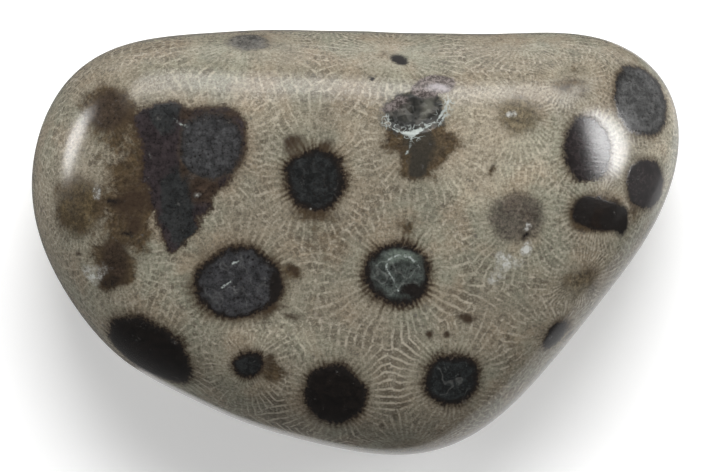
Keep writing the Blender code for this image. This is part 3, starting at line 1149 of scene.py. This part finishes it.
darker = (1.0 - in_hollow) * dark_matter
mottle = 1.0 + (noise(place, 2.6, 4.0, 0.8) - 0.5) * (0.5 + darker * 2.4)
colour = scaled(colour, mottle.at_least(0.25))
crust = ease(kept("calcite", "Fac") + fine_blotches * 0.6 + blotches * 0.2, -0.05, 0.13)
web = ease((noise(place, 0.9, 2.0, 0.5) - 0.5).maths("ABSOLUTE"), 0.030, 0.010)
web = web * ease(kept("crust", "Fac"), -0.75, -0.35)
colour = mixed(crust.at_least(web * 0.7), colour, CRUST_WHITE)
print("with the hollow the material has", node_count(), "nodes")

# %% [markdown]
# ## Polish
# The stone has been tumbled and buffed to a soft gloss. It is a little duller on the muddy eyes and at
# the narrow end, and much duller in the hollow, which the wheel didn't reach. Fine scratches, all one
# way, break up the edge of each highlight.

# %% The polish and its scratches
POLISH = 0.15
DULL_END = 0.07
DULL_HOLLOW = 0.35
DULL_CRYSTALS = 0.25
SCRATCH_TURN = (0.0, 0.0, math.radians(-52.0))
SCRATCH_SCALE = (0.5, 5.0, 0.5)

scratched = Wire.node("ShaderNodeMapping", None, {0: place, "Rotation": SCRATCH_TURN, "Scale": SCRATCH_SCALE})
scratches = noise(scratched, 1.0, 3.0, 0.6)
dark = eye.at_least(mass)
place_x, _, _ = parted(place)
polish = POLISH + ease(place_x, -25.0, -30.0) * DULL_END + dark * 0.02 + (noise(place, 1.2, 2.0) - 0.5) * 0.06
polish = polish + in_hollow * DULL_HOLLOW + rosy_amount * DULL_CRYSTALS
relief = (noise(place, 2.4, 3.0, 0.6) * 0.2 + speckle * (0.2 + dark * 0.5) + scratches * (0.2 + dark * 1.0)
          - chamber_dark * 0.08)
print("the polish starts from a roughness of", POLISH)

# %% Finish the material
CALCITE_IOR = 1.5
RELIEF_STRENGTH = 0.2
RELIEF_HEIGHT = 0.05 * MM

bump = Wire.node("ShaderNodeBump", None,
                 {"Strength": RELIEF_STRENGTH, "Distance": RELIEF_HEIGHT, "Height": relief})
stone_material.node_tree.links.new(colour.socket, shader.inputs["Base Color"])
stone_material.node_tree.links.new(polish.socket, shader.inputs["Roughness"])
stone_material.node_tree.links.new(bump.socket, shader.inputs["Normal"])
shader.inputs["IOR"].default_value = CALCITE_IOR
stone.data.materials.append(stone_material)

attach(stone, "root")
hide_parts(STONE_NODE)
print("the finished material has", node_count(), "nodes")

# %% [markdown]
# ## The table and the light
# A plain pale table and ten softboxes. Three of them only give the stone its colours: a strong one
# behind it and a weaker one at each end. The others only show as gloss. Two of those are put where their
# reflections fall on chosen spots of the polish, since light leaves a polished spot at the angle it came
# in at. The rest draw the long highlight on the ridge and lighten the steep sides. Keeping colour and
# gloss apart lets each be set without spoiling the other. Sizes and distances are in metres here.

# %% Table
TABLE_HALF_SIZE = 4.0
TABLE_GLOW = 0.30
TABLE_WHITE = 0.9
TABLE_ROUGHNESS = 0.9


def table_material():
    """Matt white acrylic with a weak light under it."""
    material = bpy.data.materials.new("pale_table")
    material.use_nodes = True
    principled = material.node_tree.nodes["Principled BSDF"]
    principled.inputs["Base Color"].default_value = rgb(TABLE_WHITE, TABLE_WHITE, TABLE_WHITE)
    principled.inputs["Roughness"].default_value = TABLE_ROUGHNESS
    principled.inputs["Specular IOR Level"].default_value = 0.0
    principled.inputs["Emission Color"].default_value = rgb(1.0, 1.0, 1.0)
    principled.inputs["Emission Strength"].default_value = TABLE_GLOW
    return material


def make_table():
    """A large level table at the height the stone rests on, which the polish doesn't mirror."""
    data = bpy.data.meshes.new("table")
    corners = [(-1, -1), (1, -1), (1, 1), (-1, 1)]
    data.from_pydata([(x * TABLE_HALF_SIZE, y * TABLE_HALF_SIZE, cad_low.z) for x, y in corners], [],
                     [(0, 1, 2, 3)])
    data.materials.append(table_material())
    table = bpy.data.objects.new("table", data)
    table.visible_glossy = False
    bpy.context.scene.collection.objects.link(table)


make_table()
print("the table is", 2 * TABLE_HALF_SIZE, "m wide")

# %% Where a lamp stands


def mirrored_direction(x, y):
    """Where a light has to stand for its reflection, seen from above, to fall on a spot of the stone."""
    normal = Vector(face_normals[face_under(x, y)])
    return 2 * normal.z * normal - Vector((0.0, 0.0, 1.0))


def towards(azimuth, tilt):
    """A direction from its angle round from +X and its angle down from straight above."""
    azimuth, tilt = math.radians(azimuth), math.radians(tilt)
    return (math.sin(tilt) * math.cos(azimuth), math.sin(tilt) * math.sin(azimuth), math.cos(tilt))


print("straight behind the stone is", [round(part, 2) for part in towards(90, 90)])

# %% A softbox


def softbox(name, direction, distance, width, height, radiance, shows, shape="RECTANGLE", turn=0.0):
    """A flat lamp that faces the stone and shows only in its colour or only in its gloss."""
    data = bpy.data.lights.new(name, "AREA")
    data.shape = shape
    data.size = width
    data.size_y = height
    area = width * height * (math.pi / 4 if shape == "ELLIPSE" else 1.0)
    data.energy = radiance * math.pi * area
    lamp = bpy.data.objects.new(name, data)
    lamp.location = Vector(direction).normalized() * distance
    facing = Vector(direction).to_track_quat("Z", "Y")
    lamp.rotation_euler = (facing @ Quaternion((0.0, 0.0, 1.0), math.radians(turn))).to_euler()
    lamp.visible_camera = False
    lamp.visible_diffuse = shows != "gloss"
    lamp.visible_glossy = shows != "colour"
    bpy.context.scene.collection.objects.link(lamp)


print("a softbox shows as colour or as gloss")

# %% The lamps
COLOUR_LAMPS = [
    # name, azimuth, tilt, distance, width, height, radiance
    ("key_softbox", 86, 42, 0.8, 0.52, 0.42, 10.0),
    ("right_fill", 20, 62, 0.8, 0.40, 0.40, 5.0),
    ("left_fill", 172, 66, 0.8, 0.40, 0.40, 4.4),
]
REFLECTORS = [
    # name, spot on the stone in millimetres, distance, width, height, radiance, turn
    ("right_reflector", (27.2, 11.1), 0.6, 0.10, 0.21, 20.0, -41.0),
    ("left_reflector", (-30.3, 10.8), 0.6, 0.26, 0.21, 12.0, 0.0),
]
GLOSS_LAMPS = [
    # name, azimuth, tilt, distance, width, height, radiance
    ("ridge_strip", 80, 52, 0.9, 1.40, 0.44, 2.4),
    ("ridge_glow", 80, 54, 1.0, 1.40, 0.90, 1.3),
    ("back_sweep", 80, 112, 0.9, 1.60, 0.50, 0.4),
    ("right_sweep", 12, 112, 0.9, 0.80, 1.30, 0.45),
    ("corner_sweep", -31, 148, 0.9, 1.00, 1.20, 0.5),
]

for name, azimuth, tilt, distance, width, height, radiance in COLOUR_LAMPS:
    softbox(name, towards(azimuth, tilt), distance, width, height, radiance, "colour")
for name, spot, distance, width, height, radiance, turn in REFLECTORS:
    softbox(name, mirrored_direction(*spot), distance, width, height, radiance, "gloss", "ELLIPSE", turn)
for name, azimuth, tilt, distance, width, height, radiance in GLOSS_LAMPS:
    softbox(name, towards(azimuth, tilt), distance, width, height, radiance, "gloss")
print(len(COLOUR_LAMPS), "lamps for colour and", len(REFLECTORS) + len(GLOSS_LAMPS), "for gloss")

# %% The light of the room
ROOM_LIGHT = 0.12

world = bpy.data.worlds.new("soft_room")
world.use_nodes = True
world.node_tree.nodes["Background"].inputs["Color"].default_value = rgb(1.0, 1.0, 1.0)
world.node_tree.nodes["Background"].inputs["Strength"].default_value = ROOM_LIGHT
bpy.context.scene.world = world
bpy.context.scene.view_settings.view_transform = "Standard"
print("the room adds a light of", ROOM_LIGHT)

# %% [markdown]
# ## The camera
# The stone is seen from straight above through a long lens, so its outline shows with hardly any
# perspective.

# %% Camera
CAMERA_HEIGHT = 1.2
VIEW_WIDTH = 76.6 * MM
SENSOR = 36.0
MIDDLE_OF_VIEW = (-0.16 * MM, 0.68 * MM)

camera_data = bpy.data.cameras.new("camera")
camera_data.sensor_width = SENSOR
camera_data.lens = SENSOR * (CAMERA_HEIGHT - CENTRE[2]) / VIEW_WIDTH
camera = bpy.data.objects.new("camera", camera_data)
camera.location = (MIDDLE_OF_VIEW[0], MIDDLE_OF_VIEW[1], CAMERA_HEIGHT)
bpy.context.scene.collection.objects.link(camera)
bpy.context.scene.camera = camera
print("the camera has a lens of", round(camera_data.lens), "mm")
